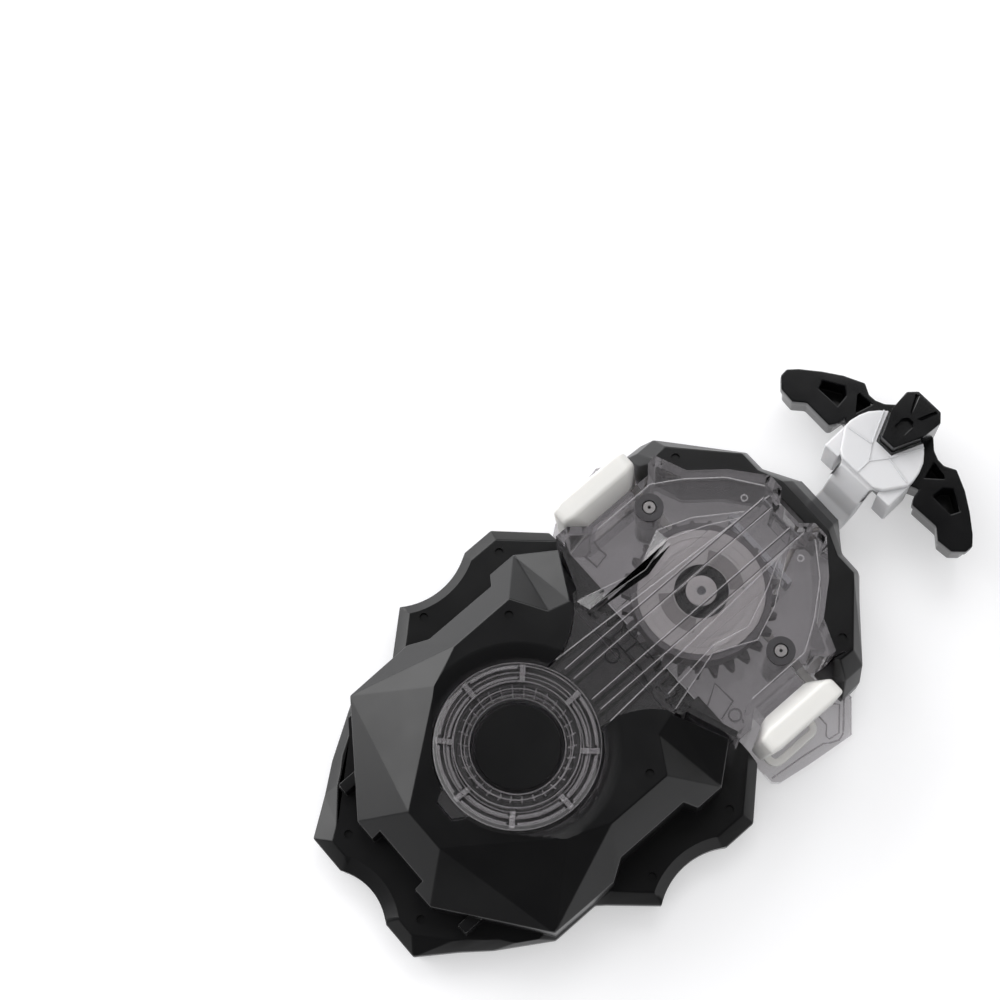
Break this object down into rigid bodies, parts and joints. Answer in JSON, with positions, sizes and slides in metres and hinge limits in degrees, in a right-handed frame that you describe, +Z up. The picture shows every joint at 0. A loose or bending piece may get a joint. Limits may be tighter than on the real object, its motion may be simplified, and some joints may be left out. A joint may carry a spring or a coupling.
{
  "type": "spinning top launcher",
  "caption": "String-pull launcher for spinning tops: faceted black casing, clear string module, white selector loops and a winged pull grip on a cord.",
  "frame": {"origin": "on the launch axis, where it meets the surface that the launcher rests on", "axes": "+Y from the launch axis towards the string exit and the pull grip, +Z up out of the top of the casing, +X to the right seen from above with the grip at the top"},
  "size_m": [0.0806, 0.1515, 0.028],
  "materials": {
    "black_plastic": "moulded black ABS, satin",
    "black_gloss": "moulded black ABS, gloss",
    "smoke_clear": "smoke-tinted clear polycarbonate",
    "white_plastic": "moulded white acetal, semi-gloss",
    "milky_plastic": "natural milky acetal",
    "steel": "plain steel",
    "spring_steel": "spring steel strip",
    "string": "braided nylon cord"
  },
  "bodies": {
    "housing": {"upper_shell": "black_plastic", "lower_shell": "black_plastic", "top_cover": "smoke_clear", "base_plate": "smoke_clear", "end_frame": "black_plastic", "centre_disc": "black_gloss", "spool_axle": "milky_plastic", "string_guide": "steel", "selector_detent": "spring_steel", "string_lead": "string", "case_screws": "steel"},
    "handle": {"handle_yoke": "white_plastic", "handle_grip": "black_plastic", "string_knot": "string"},
    "spool": {"string_spool": "milky_plastic", "spool_cap": "milky_plastic", "spool_bush": "black_plastic", "wound_string": "string", "return_spring": "spring_steel"},
    "drive": {"drive_gear": "milky_plastic", "launch_shaft": "steel", "shaft_washer": "steel", "hook_hub": "milky_plastic", "hook_prongs": "white_plastic"},
    "selector": {"selector_left": "white_plastic", "selector_right": "white_plastic", "selector_bar": "white_plastic"}
  },
  "joints": [
    {"name": "handle_pull", "type": "slide", "parent": "housing", "child": "handle", "axis": [0, 1, 0], "range_m": [0, 0.45], "stiffness_N_per_m": 4, "springref_m": -0.4},
    {"name": "spool_spin", "type": "hinge", "parent": "housing", "child": "spool", "pos_m": [0, 0.03795, 0], "axis": [0, 0, 1], "range_deg": [-10, 2740]},
    {"name": "drive_spin", "type": "hinge", "parent": "housing", "child": "drive", "pos_m": [0, 0, 0], "axis": [0, 0, 1], "range_deg": [-1770, 10]},
    {"name": "selector_slide", "type": "slide", "parent": "housing", "child": "selector", "axis": [1, 0, 0], "range_m": [-0.0017, 0]}
  ],
  "couplings": [
    {"joint": "spool_spin", "follows": "handle_pull", "rad_per_m": 105.26},
    {"joint": "drive_spin", "follows": "handle_pull", "rad_per_m": -67.669}
  ]
}
